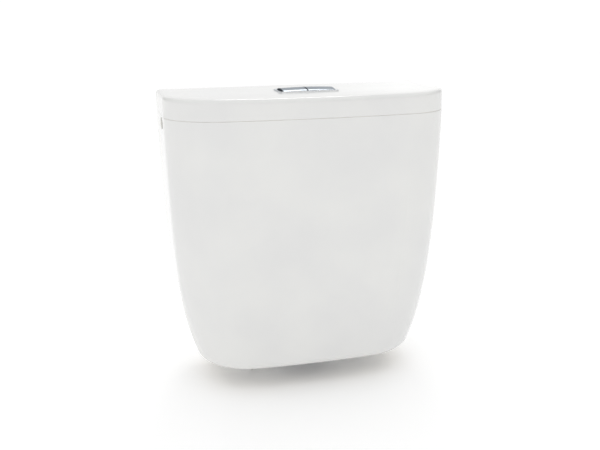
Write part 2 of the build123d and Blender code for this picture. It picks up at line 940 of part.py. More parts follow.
def full_flush_rocker():
    inner = collar_radius - tine_width
    left, right = -collar_radius - rocker_gap / 2, hub_end()
    hub = cross_rod(hub_radius, left, right, pivot_y, pivot_z)
    arms = hub + pad((rod_offset - pad_half_width, hub_end()))
    for x_range in ((-collar_radius, -inner), (inner, collar_radius)):
        arms = arms + swung_arm(x_range, -pivot_y, tine_tip_radius, tine_rise - tine_tip_radius)
    return arms - hub_bore()


def half_flush_lever():
    outer = -hub_end()
    inner = -collar_radius - finger_clearance
    hub = cross_rod(hub_radius, outer, inner, pivot_y, pivot_z)
    lever = hub + swung_arm((outer, inner), -pivot_y, tine_tip_radius, tine_rise - tine_tip_radius)
    arm = block((outer, inner), (rod_y, pivot_y), (pad_top - pad_thickness, pad_top))
    pad_back = pivot_y - hub_radius - rocker_gap
    plate = block(
        (outer, -rod_offset + pad_half_width),
        (rod_y - pad_reach, pad_back),
        (pad_top - pad_thickness, pad_top),
    )
    return lever + arm + plate - hub_bore()


def float_guide_rod(side):
    x = side * float_rod_offset
    shaft = rod(float_rod_radius, ring_top - float_rod_socket, head_top, x)
    return shaft + rod(float_rod_head, head_top, head_top + float_rod_head_height, x)


def float_stop_clip(name, side):
    x = side * float_rod_offset
    high = stop_heights[name]
    return pipe(stop_clip_radius, float_rod_radius + running_clearance, high - stop_clip_height, high, x)


def flush_float(name, side):
    """An air cup, open below, that rides on its guide rod, with a latch arm towards the tube."""
    x, low = side * float_rod_offset, stop_heights[name]
    high = low + float_height
    outer_plan = RectangleRounded(float_width, float_depth, float_corner)
    inner_width, inner_depth = float_width - 2 * float_wall, float_depth - 2 * float_wall
    inner_plan = RectangleRounded(inner_width, inner_depth, float_corner - float_wall)
    outer = Pos(x, 0, low) * extrude(outer_plan, float_height)
    hollow = Pos(x, 0, low - overrun) * extrude(inner_plan, float_height - float_wall + overrun)
    sleeve_bore = float_rod_radius + slide_clearance
    cup = outer - hollow + rod(sleeve_bore + sleeve_wall, low, high, x)
    reach = catch_radius + latch_clearance
    y_range = (-latch_width / 2, latch_width / 2)
    arm = block(sorted((side * reach, x)), y_range, (high - latch_thickness, high))
    hook_x = sorted((side * reach, side * (reach + latch_thickness)))
    hook = block(hook_x, y_range, (high - 2 * latch_thickness, high))
    return cup + arm + hook - rod(sleeve_bore, low - overrun, high + overrun, x)


def fill_valve_shank():
    riser_bore = inner_riser_radius + running_clearance
    neck_low = foot_recess - inlet_nut_height - inlet_washer_thickness
    relief_low = neck_low - tail_relief_height
    profile = [
        (tail_bore_radius, -tail_drop),
        (tail_radius, -tail_drop),
        (tail_radius, relief_low),
        (tail_relief_radius, relief_low),
        (tail_relief_radius, neck_low),
        (tail_neck_radius, neck_low),
        (tail_neck_radius, shank_flange_low),
        (shank_flange_radius, shank_flange_low),
        (shank_flange_radius, shank_flange_high),
        (outer_riser_radius, shank_flange_high),
        (outer_riser_radius, outer_riser_top),
        (riser_bore, outer_riser_top),
        (riser_bore, shank_flange_high),
        (tail_bore_radius, shank_flange_low),
    ]
    return turned(profile, fill_x, fill_y)


def inlet_seal_washer():
    bore = tail_neck_radius + thread_clearance
    return pipe(inlet_washer_radius, bore, floor_top, shank_flange_low, fill_x, fill_y)


def inlet_back_nut():
    bore = tail_neck_radius + thread_clearance
    low = foot_recess - inlet_nut_height
    return hex_nut(inlet_nut_across, bore, low, foot_recess, fill_x, fill_y)


def inlet_filter():
    """A tapered strainer with slots, standing in the tail."""
    low = -tail_drop
    mouth = tail_bore_radius - running_clearance
    shoulder = low + 2 * filter_wall
    top = low + filter_length
    profile = [
        (mouth - 2 * filter_wall, low),
        (mouth, low),
        (mouth, shoulder),
        (mouth - filter_wall, shoulder),
        (filter_tip_radius, top),
        (0, top),
        (0, top - filter_wall),
        (filter_tip_radius - filter_wall, top - filter_wall),
        (mouth - 2 * filter_wall, shoulder),
    ]
    shape = turned(profile, fill_x, fill_y)
    for i in range(filter_slots):
        slot = block(
            (0, 2 * mouth),
            (-filter_slot_width / 2, filter_slot_width / 2),
            (shoulder + filter_wall, top - 2 * filter_wall),
        )
        shape = shape - Pos(fill_x, fill_y, 0) * Rot(0, 0, 360 * i / filter_slots) * slot
    return shape


def fill_valve_riser():
    riser_low = outer_riser_top - riser_overlap
    neck = valve_head_radius - inner_riser_radius
    profile = [
        (inner_riser_bore, riser_low),
        (inner_riser_radius, riser_low),
        (inner_riser_radius, valve_head_low - neck),
        (valve_head_radius, valve_head_low),
        (valve_head_radius, valve_head_top),
        (inner_riser_bore, valve_head_top),
    ]
    return turned(profile, fill_x, fill_y)


def riser_lock_ring():
    low = outer_riser_top - lock_ring_height
    bore = outer_riser_radius + running_clearance
    top = outer_riser_top + cap_wall
    throat = inner_riser_radius + running_clearance
    ring = turned(
        [
            (bore, low),
            (lock_ring_radius, low),
            (lock_ring_radius, top),
            (throat, top),
            (throat, outer_riser_top),
            (bore, outer_riser_top),
        ],
        fill_x,
        fill_y,
    )
    for x, y in around(lock_ring_flutes, lock_ring_radius, fill_x, fill_y):
        ring = ring - rod(lock_flute_radius, low - overrun, top + overrun, x, y)
    return ring


def valve_diaphragm():
    return pipe(diaphragm_radius, pilot_hole_radius, valve_head_top, cap_plate_low, fill_x, fill_y)


def fill_valve_cap():
    inner = valve_head_radius + running_clearance
    outer = inner + cap_wall
    low = valve_head_top - cap_skirt
    cap = turned(
        [
            (inner, low),
            (outer, low),
            (outer, cap_top),
            (pilot_hole_radius, cap_top),
            (pilot_hole_radius, cap_plate_low),
            (inner, cap_plate_low),
        ],
        fill_x,
        fill_y,
    )
    for x, y in around(cap_ribs, outer, fill_x, fill_y):
        cap = cap + rod(cap_rib_height, low, cap_plate_low, x, y)
    inside = lever_width / 2 + lever_side_gap
    outside = inside + lever_ear_thickness
    y_range = (lever_y - lever_hub_radius, lever_y + lever_hub_radius)
    for side in (-1, 1):
        left, right = sorted((fill_x + side * inside, fill_x + side * outside))
        cap = cap + block((left, right), y_range, (cap_top - overrun, lever_z))
        cap = cap + cross_rod(lever_hub_radius, left, right, lever_y, lever_z)
    bore = lever_pin_radius + running_clearance
    reach = outside + overrun
    return cap - cross_rod(bore, fill_x - reach, fill_x + reach, lever_y, lever_z)


def float_lever_pin():
    reach = lever_width / 2 + lever_side_gap + lever_ear_thickness
    return cross_rod(lever_pin_radius, fill_x - reach, fill_x + reach, lever_y, lever_z)


def float_lever():
    """The arm from the float rod to the pilot hole, drawn level and then let down to the empty position."""
    hub = Circle(lever_hub_radius)
    end = Pos(-lever_length, 0) * Circle(lever_end_radius)
    nose = Pos(lever_pivot_setback, -nose_drop) * Circle(nose_radius)
    side_view = Plane(origin=(-lever_width / 2, 0, 0), x_dir=(0, 1, 0), z_dir=(1, 0, 0))
    lever = extrude(side_view * make_hull(hub.edges() + end.edges()), lever_width)
    lever = lever + extrude(side_view * make_hull(hub.edges() + nose.edges()), lever_width)
    fork_start = -lever_length + 2 * lever_end_radius
    far = -lever_length - 2 * lever_end_radius
    z_range = (-lever_hub_radius, lever_hub_radius)
    lever = lever - block((-fork_gap / 2, fork_gap / 2), (far, fork_start), z_range)
    slot = cross_pin_radius + slot_clearance
    lever = lever - block((-lever_width, lever_width), (far, -lever_length + 2 * slot), (-slot, slot))
    lever = lever - cross_rod(lever_pin_radius + running_clearance, -lever_width, lever_width, 0, 0)
    return Pos(fill_x, lever_y, lever_z) * Rot(float_swing, 0, 0) * lever


def fill_float():
    """An air cup, open below, round the riser, with a lug for its adjusting rod."""
    sleeve_bore = inner_riser_radius + slide_clearance
    sleeve = sleeve_bore + fill_sleeve_wall
    high, low = fill_float_top, fill_float_low
    plate = high - fill_float_plate
    skin = fill_float_radius - fill_float_wall
    cup = turned(
        [
            (sleeve_bore, low),
            (sleeve, low),
            (sleeve, plate),
            (skin, plate),
            (skin, low),
            (fill_float_radius, low),
            (fill_float_radius, high),
            (sleeve_bore, high),
        ],
        fill_x,
        fill_y,
    )
    x_range = (fill_x - lug_plate_width / 2, fill_x + lug_plate_width / 2)
    y_range = (float_rod_y, fill_y - skin)
    lug_low = high - lug_plate_thickness
    lug = block(x_range, y_range, (lug_low, high))
    lug = lug + rod(lug_plate_width / 2, lug_low, high, fill_x, float_rod_y)
    bore = adjusting_rod_radius + running_clearance
    return cup + lug - rod(bore, lug_low - overrun, high + overrun, fill_x, float_rod_y)


def float_adjusting_rod():
    """A rod from the float's lug to the fork of the lever, with its cross pin and its nut on the lug."""
    low = fill_float_top - rod_below_lug
    high = lever_z - fill_float_travel / 2
    shaft = rod(adjusting_rod_radius, low, high + cross_pin_radius, fill_x, float_rod_y)
    nut = rod(rod_nut_radius, fill_float_top, fill_float_top + rod_nut_height, fill_x, float_rod_y)
    pin = cross_rod(cross_pin_radius, fill_x - lever_width / 2, fill_x + lever_width / 2, float_rod_y, high)
    return shaft + nut + pin


def cistern_bolt(side):
    x = side * bolt_spacing / 2
    under_head = floor_top + bolt_rubber_thickness
    thread_top = bolt_stack_low() + bolt_thread_start - bolt_nut_height
    profile = [
        (0, -bolt_drop),
        (bolt_thread_radius, -bolt_drop),
        (bolt_thread_radius, thread_top - bolt_thread_start),
        (bolt_neck_radius, thread_top - bolt_thread_start),
        (bolt_neck_radius, under_head),
        (bolt_head_radius, under_head),
        (bolt_head_radius - bolt_head_height / 2, under_head + bolt_head_height),
        (0, under_head + bolt_head_height),
    ]
    head_top_z = under_head + bolt_head_height
    slot = block(
        (x - bolt_head_radius, x + bolt_head_radius),
        (-bolt_head_slot / 2, bolt_head_slot / 2),
        (head_top_z - bolt_head_slot, head_top_z + overrun),
    )
    return turned(profile, x) - slot


def bolt_stack_low():
    """Underside of the washers below the floor."""
    return foot_recess - bolt_under_thickness - bolt_steel_thickness


def bolt_bore():
    return bolt_thread_radius + bolt_hole_clearance


def bolt_rubber_washer(side):
    x = side * bolt_spacing / 2
    return pipe(bolt_rubber_radius, bolt_bore(), floor_top, floor_top + bolt_rubber_thickness, x)


def bolt_under_washer(side):
    x = side * bolt_spacing / 2
    return pipe(bolt_under_radius, bolt_bore(), foot_recess - bolt_under_thickness, foot_recess, x)


def bolt_steel_washer(side):
    x = side * bolt_spacing / 2
    high = foot_recess - bolt_under_thickness
    return pipe(bolt_steel_radius, bolt_bore(), high - bolt_steel_thickness, high, x)


def bolt_lock_nut(side):
    x = side * bolt_spacing / 2
    high = bolt_stack_low()
    return hex_nut(bolt_nut_across, bolt_thread_radius + thread_clearance, high - bolt_nut_height, high, x)


def side_hole_plug():
    """A domed cap outside and a threaded stem through the wall."""
    seat = -tank_half_width - plug_seat_gap
    y, z = back_y - side_hole_setback, seam_height - side_hole_drop
    stem_end = -tank_half_width + tank_wall + plug_thread_length
    dome = (plug_cap_radius ** 2 + plug_cap_height ** 2) / (2 * plug_cap_height)
    cap = side_drill(plug_cap_radius, seat - plug_cap_height, seat)
    cap = cap & (Pos(seat - plug_cap_height + dome, y, z) * Sphere(dome))
    return cap + side_drill(side_hole_radius - plug_stem_clearance, seat, stem_end)


def side_plug_nut():
    y, z = back_y - side_hole_setback, seam_height - side_hole_drop
    wall_lean = side_draw * side_drawn_share(z - plug_nut_across / math.sqrt(3))
    left = -tank_half_width + tank_wall + wall_lean + plug_seat_gap
    bore = side_hole_radius - plug_stem_clearance + thread_clearance
    nut = hex_nut(plug_nut_across, bore, 0, plug_nut_height)
    return Pos(left, y, z) * Rot(0, 90, 0) * nut


def main():
    os.makedirs("parts", exist_ok=True)
    sides = (-1, 1)
    write("cistern_body", cistern_body())
    write("cistern_lid", cistern_lid())
    write("button_bezel", button_bezel())
    write("button_housing", button_housing())
    write("button_bridge_plate", button_bridge_plate())
    write("button_clamp_nuts", *[button_clamp_nut(side) for side in sides])
    write("full_flush_button", button_plate(1))
    write("half_flush_button", button_plate(-1))
    write("full_push_rod", push_rod(1))
    write("half_push_rod", push_rod(-1))
    write("full_button_spring", button_spring(1))
    write("half_button_spring", button_spring(-1))
    write("flush_valve_base", flush_valve_base())
    write("outlet_seal_washer", outlet_seal_washer())
    write("outlet_back_nut", outlet_back_nut())
    write("pan_gasket", pan_gasket())
    write("overflow_tube", overflow_tube())
    write("seat_seal", seat_seal())
    write("flush_valve_tower", flush_valve_tower())
    write("full_flush_rocker", full_flush_rocker())
    write("half_flush_lever", half_flush_lever())
    write("rocker_pin", rocker_pin())
    write("float_guide_rods", *[float_guide_rod(side) for side in sides])
    write("float_stop_clips", float_stop_clip("full", 1), float_stop_clip("half", -1))
    write("full_flush_float", flush_float("full", 1))
    write("half_flush_float", flush_float("half", -1))
    write("fill_valve_shank", fill_valve_shank())
    write("inlet_seal_washer", inlet_seal_washer())
    write("inlet_back_nut", inlet_back_nut())
    write("inlet_filter", inlet_filter())
    write("fill_valve_riser", fill_valve_riser())
    write("riser_lock_ring", riser_lock_ring())
    write("valve_diaphragm", valve_diaphragm())
    write("fill_valve_cap", fill_valve_cap())
    write("float_lever", float_lever())
    write("float_lever_pin", float_lever_pin())
    write("fill_float", fill_float())
    write("float_adjusting_rod", float_adjusting_rod())
    write("cistern_bolts", *[cistern_bolt(side) for side in sides])
    write("bolt_rubber_washers", *[bolt_rubber_washer(side) for side in sides])
    write("bolt_under_washers", *[bolt_under_washer(side) for side in sides])
    write("bolt_steel_washers", *[bolt_steel_washer(side) for side in sides])
    write("bolt_lock_nuts", *[bolt_lock_nut(side) for side in sides])
    write("side_hole_plug", side_hole_plug())
    write("side_plug_nut", side_plug_nut())


main()
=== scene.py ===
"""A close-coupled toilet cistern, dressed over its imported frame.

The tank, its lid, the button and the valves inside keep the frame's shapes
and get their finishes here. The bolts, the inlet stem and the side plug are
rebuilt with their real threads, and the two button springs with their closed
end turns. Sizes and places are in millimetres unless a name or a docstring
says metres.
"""
import logging
import math
from dataclasses import dataclass, field
from enum import Enum
from typing import Mapping, Sequence

import bmesh
import bpy
from mathutils import Matrix, Vector


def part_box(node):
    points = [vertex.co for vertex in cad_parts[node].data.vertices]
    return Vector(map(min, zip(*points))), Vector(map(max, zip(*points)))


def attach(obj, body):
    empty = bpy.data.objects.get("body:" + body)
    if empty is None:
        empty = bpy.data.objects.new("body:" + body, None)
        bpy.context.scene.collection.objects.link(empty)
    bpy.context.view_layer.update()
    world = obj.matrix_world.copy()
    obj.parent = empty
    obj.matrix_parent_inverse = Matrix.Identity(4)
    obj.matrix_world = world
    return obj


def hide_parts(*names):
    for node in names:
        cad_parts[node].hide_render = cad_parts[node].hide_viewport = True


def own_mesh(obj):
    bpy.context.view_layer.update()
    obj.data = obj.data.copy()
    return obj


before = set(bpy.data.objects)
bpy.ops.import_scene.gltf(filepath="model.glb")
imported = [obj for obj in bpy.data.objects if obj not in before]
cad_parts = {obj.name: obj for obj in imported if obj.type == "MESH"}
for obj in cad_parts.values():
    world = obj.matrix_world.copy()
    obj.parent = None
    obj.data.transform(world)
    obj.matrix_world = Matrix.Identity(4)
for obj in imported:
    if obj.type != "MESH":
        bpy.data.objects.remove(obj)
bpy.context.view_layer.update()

log = logging.getLogger("cistern")

Outline = Sequence[tuple[float, float]]
Stops = Sequence[tuple[float, float]]
Nodes = bpy.types.NodeTree
Socket = bpy.types.NodeSocket

MM_PER_METRE = 1000.0
SAME_RADIUS_MM = 1e-6
SAME_POINT_M = 1e-7

# Most of a noise's values lie between these two.
NOISE_MIDDLE = {"From Min": 0.35, "From Max": 0.65}


def mm(value: float) -> float:
    """Millimetres as Blender's metres."""
    return value / MM_PER_METRE


def linear(code: str) -> tuple[float, float, float, float]:
    """Turns an sRGB hex colour to linear, by the standard's curve.

    Args:
        code: the colour as #RRGGBB.

    Returns:
        Linear red, green, blue and an alpha of 1.
    """
    parts = [int(code[i:i + 2], 16) / 255.0 for i in (1, 3, 5)]
    light = [p / 12.92 if p <= 0.04045 else ((p + 0.055) / 1.055) ** 2.4 for p in parts]
    return (light[0], light[1], light[2], 1.0)


def add_node(
    tree: Nodes,
    kind: str,
    inputs: Mapping[str | int, object] | None = None,
    **settings: object,
) -> bpy.types.Node:
    """Adds a shader node with its settings and its links.

    Math and mix nodes repeat their sockets' names, so theirs go by place. On a mix node 0 is
    the share, 2 and 3 take values and 6 and 7 colours. Its output is 0 for a value and 2 for
    a colour.

    Args:
        tree: the node tree that gets it.
        kind: the node's type after "ShaderNode".
        inputs: for each socket's name or place, a value or another node's output.
        settings: the node's own properties.

    Returns:
        The new node.
    """
    node = tree.nodes.new("ShaderNode" + kind)
    for name, value in settings.items():
        setattr(node, name, value)
    for key, value in (inputs or {}).items():
        if isinstance(value, Socket):
            tree.links.new(value, node.inputs[key])
        else:
            node.inputs[key].default_value = value
    return node


@dataclass(frozen=True)
class Finish:
    """What every finish shares: a name, two close tones and a surface that is never quite even.

    The tones drift into each other in soft clouds, and a fine grain moves the
    roughness and the relief. Each pattern's size is the width of one lump.
    """

    name: str
    tone: str
    shade: str
    roughness: tuple[float, float]
    cloud_mm: float
    grain_mm: float
    relief_mm: float

    def material(self) -> bpy.types.Material:
        """Builds the material once.

        Returns:
            The material, the same one each time.
        """
        known = bpy.data.materials.get(self.name)
        if known is not None:
            return known
        made = bpy.data.materials.new(self.name)
        made.use_nodes = True
        made.node_tree.nodes.clear()
        place = add_node(made.node_tree, "TexCoord")
        shader = self.shader(made.node_tree, place)
        add_node(made.node_tree, "OutputMaterial", {"Surface": shader.outputs[0]})
        made.diffuse_color = linear(self.tone)
        return made

    def clouds(self, tree: Nodes, place: bpy.types.Node) -> Socket:
        """The two tones, drifting into each other.

        Args:
            tree: the material's nodes.
            place: the texture coordinate node.

        Returns:
            The colour.
        """
        inputs = {"Vector": place.outputs["Object"], "Scale": MM_PER_METRE / self.cloud_mm, "Detail": 3.0}
        lumps = add_node(tree, "TexNoise", inputs).outputs["Fac"]
        drift = add_node(tree, "MapRange", {"Value": lumps, **NOISE_MIDDLE}).outputs["Result"]
        ramp = add_node(tree, "ValToRGB", {"Fac": drift})
        ramp.color_ramp.elements[0].color = linear(self.tone)
        ramp.color_ramp.elements[1].color = linear(self.shade)
        return ramp.outputs["Color"]

    def grain(self, tree: Nodes, vector: Socket, detail: float) -> tuple[Socket, Socket]:
        """The fine pattern that breaks up the gloss.

        Args:
            tree: the material's nodes.
            vector: the coordinates that it lies in.
            detail: how many finer layers it has.

        Returns:
            The pattern and the roughness that follows it.
        """
        inputs = {"Vector": vector, "Scale": MM_PER_METRE / self.grain_mm, "Detail": detail}
        pattern = add_node(tree, "TexNoise", inputs).outputs["Fac"]
        low, high = self.roughness
        inputs = {"Value": pattern, **NOISE_MIDDLE, "To Min": low, "To Max": high}
        return pattern, add_node(tree, "MapRange", inputs).outputs["Result"]

    def waviness(self, tree: Nodes, place: bpy.types.Node, width_mm: float, depth_mm: float) -> Socket:
        """A slow waviness that makes clear reflections waver.

        Args:
            tree: the material's nodes.
            place: the texture coordinate node.
            width_mm: how wide one wave is.
            depth_mm: how deep it is.

        Returns:
            The waving normal.
        """
        inputs = {"Vector": place.outputs["Object"], "Scale": MM_PER_METRE / width_mm, "Detail": 1.0}
        waves = add_node(tree, "TexNoise", inputs).outputs["Fac"]
        inputs = {"Height": waves, "Distance": mm(depth_mm), "Strength": 1.0}
        return add_node(tree, "Bump", inputs).outputs["Normal"]

    def shader(self, tree: Nodes, place: bpy.types.Node) -> bpy.types.Node:
        """Builds the shader.

        Args:
            tree: the material's nodes.
            place: the texture coordinate node.

        Returns:
            The shader node.
        """
        grain, rough = self.grain(tree, place.outputs["Object"], 2.0)
        inputs = {"Height": grain, "Distance": mm(self.relief_mm), "Strength": 1.0}
        normal = add_node(tree, "Bump", inputs).outputs["Normal"]
        inputs = {"Base Color": self.clouds(tree, place), "Roughness": rough, "Normal": normal}
        return add_node(tree, "BsdfPrincipled", {**inputs, **self.fixed()})

    def fixed(self) -> dict[str, object]:
        """The shader's settings that are the same all over, none unless the finish has some."""
        return {}


@dataclass(frozen=True)
class VitreousChina(Finish):
    """Vitreous china, slip-cast, sprayed with an opaque white glaze and fired.

    The glaze is a glassy skin over a white ground, so the eye gets clear soft
    reflections that waver a little. Where the piece stood in the kiln or meets
    its mate the glaze was wiped off, which leaves a dull cream biscuit.
    """

    bare: str = "#E4DCCD"
    bare_levels_mm: tuple[float, ...] = ()
    bare_reach_mm: float = 0.4
    bare_flatness: float = 0.9
    bare_roughness: float = 0.8
    ripple_mm: float = 26.0
    ripple_depth_mm: float = 0.018
    ior: float = 1.52

    def biscuit(self, tree: Nodes, place: bpy.types.Node) -> Socket:
        """Where the glaze was wiped: flat rings at the given heights.

        Args:
            tree: the material's nodes.
            place: the texture coordinate node.

        Returns:
            1 on bare biscuit, 0 on glaze.
        """
        height = add_node(tree, "SeparateXYZ", {"Vector": place.outputs["Object"]}).outputs["Z"]
        facing = add_node(tree, "SeparateXYZ", {"Vector": place.outputs["Normal"]}).outputs["Z"]
        level_face = add_node(tree, "Math", {0: facing}, operation="ABSOLUTE").outputs[0]
        inputs = {0: level_face, 1: self.bare_flatness}
        flat = add_node(tree, "Math", inputs, operation="GREATER_THAN").outputs[0]
        rings: Socket | float = 0.0
        for level in self.bare_levels_mm:
            inputs = {0: height, 1: mm(level), 2: mm(self.bare_reach_mm)}
            ring = add_node(tree, "Math", inputs, operation="COMPARE").outputs[0]
            rings = add_node(tree, "Math", {0: rings, 1: ring}, operation="MAXIMUM").outputs[0]
        return add_node(tree, "Math", {0: rings, 1: flat}, operation="MULTIPLY").outputs[0]

    def shader(self, tree: Nodes, place: bpy.types.Node) -> bpy.types.Node:
        """Glaze over china, with bare rings.

        Args:
            tree: the material's nodes.
            place: the texture coordinate node.

        Returns:
            The shader node.
        """
        bare = self.biscuit(tree, place)
        inputs = {0: bare, 6: self.clouds(tree, place), 7: linear(self.bare)}
        colour = add_node(tree, "Mix", inputs, data_type="RGBA").outputs[2]
        grain, gloss = self.grain(tree, place.outputs["Object"], 4.0)
        inputs = {0: bare, 2: gloss, 3: self.bare_roughness}
        rough = add_node(tree, "Mix", inputs, data_type="FLOAT").outputs[0]
        waved = self.waviness(tree, place, self.ripple_mm, self.ripple_depth_mm)
        pitted = add_node(tree, "Math", {0: grain, 1: bare}, operation="MULTIPLY").outputs[0]
        inputs = {"Height": pitted, "Distance": mm(self.relief_mm), "Strength": 1.0, "Normal": waved}
        normal = add_node(tree, "Bump", inputs).outputs["Normal"]
        inputs = {"Base Color": colour, "Roughness": rough, "Normal": normal}
        return add_node(tree, "BsdfPrincipled", {**inputs, **self.fixed()})

    def fixed(self) -> dict[str, object]:
        """The glaze's index."""
        return {"IOR": self.ior}


@dataclass(frozen=True)
class ChromedAbs(Finish):
    """ABS, moulded, then plated with copper, nickel and bright chrome.

    The plating copies the moulding under it: a mirror with a slow waviness and
    hair-fine wiping marks, drawn wider than they are so that they show. Faces
    that look along X, at the ends of a button plate, and a strip at the split
    beside it get a dark tone and a higher roughness as painted shade, so each
    plate ends in a dark line.
    """

    # Painted shade: the dark tone and roughness put on faces along X and at the split.
    painted_shade: str = "#D2D4D6"
    painted_shade_roughness: float = 0.1
    glancing: str = "#E4E7EA"
    wave_mm: float = 7.0
    end_from: float = 0.2
    end_full: float = 0.5
    split_at_mm: float = 0.0
    split_reach_mm: float = 0.0
    wipe_stretch: float = 0.12

    def painted_shade_mask(self, tree: Nodes, place: bpy.types.Node) -> Socket:
        """Where shade is painted: faces that look along X, and a strip at the split.

        Args:
            tree: the material's nodes.
            place: the texture coordinate node.

        Returns:
            1 where shade is painted, 0 on the plating's own tone.
        """
        facing = add_node(tree, "SeparateXYZ", {"Vector": place.outputs["Normal"]}).outputs["X"]
        sideways = add_node(tree, "Math", {0: facing}, operation="ABSOLUTE").outputs[0]
        inputs = {"Value": sideways, "From Min": self.end_from, "From Max": self.end_full}
        ends = add_node(tree, "MapRange", inputs).outputs["Result"]
        across = add_node(tree, "SeparateXYZ", {"Vector": place.outputs["Object"]}).outputs["X"]
        inputs = {0: across, 1: mm(self.split_at_mm), 2: mm(self.split_reach_mm)}
        split = add_node(tree, "Math", inputs, operation="COMPARE").outputs[0]
        return add_node(tree, "Math", {0: ends, 1: split}, operation="MAXIMUM").outputs[0]

    def shader(self, tree: Nodes, place: bpy.types.Node) -> bpy.types.Node:
        """Bright plating, with painted shade at the ends and the split.

        Args:
            tree: the material's nodes.
            place: the texture coordinate node.

        Returns:
            The shader node.
        """
        # Painted shade: the ends and the split strip take the dark tone and roughness.
        painted_shade = self.painted_shade_mask(tree, place)
        inputs = {0: painted_shade, 6: self.clouds(tree, place), 7: linear(self.painted_shade)}
        colour = add_node(tree, "Mix", inputs, data_type="RGBA").outputs[2]
        inputs = {"Vector": place.outputs["Object"], "Scale": (1.0, self.wipe_stretch, 1.0)}
        wipes = add_node(tree, "Mapping", inputs).outputs["Vector"]
        gloss = self.grain(tree, wipes, 3.0)[1]
        inputs = {0: painted_shade, 2: gloss, 3: self.painted_shade_roughness}
        rough = add_node(tree, "Mix", inputs, data_type="FLOAT").outputs[0]
        wave = self.waviness(tree, place, self.wave_mm, self.relief_mm)
        inputs = {"Base Color": colour, "Roughness": rough, "Normal": wave}
        return add_node(tree, "BsdfPrincipled", {**inputs, **self.fixed()})

    def fixed(self) -> dict[str, object]:
        """A metal, with the tone that it has at a glancing angle."""
        return {"Metallic": 1.0, "Specular Tint": linear(self.glancing)}


@dataclass(frozen=True)
class MouldedPlastic(Finish):
    """A thermoplastic, injection moulded in a spark-eroded tool.

    The tool's fine pitting breaks up the gloss, drawn coarser than it is so
    that it shows, and the melt's flow leaves clouds of slightly different
    tone. Natural grades let some light in.
    """

    ior: float = 1.49
    glow: float = 0.0
    glow_reach_mm: float = 4.0

    def fixed(self) -> dict[str, object]:
        """A plastic's index, and how far light goes into a thin wall."""
        reach = (mm(self.glow_reach_mm),) * 3
        return {"IOR": self.ior, "Subsurface Weight": self.glow, "Subsurface Radius": reach}


@dataclass(frozen=True)
class MouldedRubber(Finish):
    """EPDM rubber, compression moulded.

    Dull and nearly black, with a grey bloom in patches where talc or wax came
    to the surface.
    """

    ior: float = 1.5
    bloom: float = 0.15
    bloom_roughness: float = 0.6

    def fixed(self) -> dict[str, object]:
        """Rubber's index and its faint dusty sheen."""
        return {"IOR": self.ior, "Sheen Weight": self.bloom, "Sheen Roughness": self.bloom_roughness}


@dataclass(frozen=True)
class SatinSteel(Finish):
    """Steel, either cold headed or stamped and zinc plated, or drawn into stainless wire.

    A grey metal with a satin gloss. On zinc the tone drifts from blue to straw
    with the thickness of the passivation, and on wire it hardly changes.
    """

    def fixed(self) -> dict[str, object]:
        """A metal."""
        return {"Metallic": 1.0}


@dataclass(frozen=True)
class OpalAcrylic(Finish):
    """Cast opal acrylic, the top of a light table: matt, milky and faintly lit from below."""

    ior: float = 1.49
    lit: float = 0.15
    lit_tone: str = "#FFFFFF"

    def fixed(self) -> dict[str, object]:
        """Acrylic's index and the light from below."""
        return {"IOR": self.ior, "Emission Color": linear(self.lit_tone), "Emission Strength": self.lit}


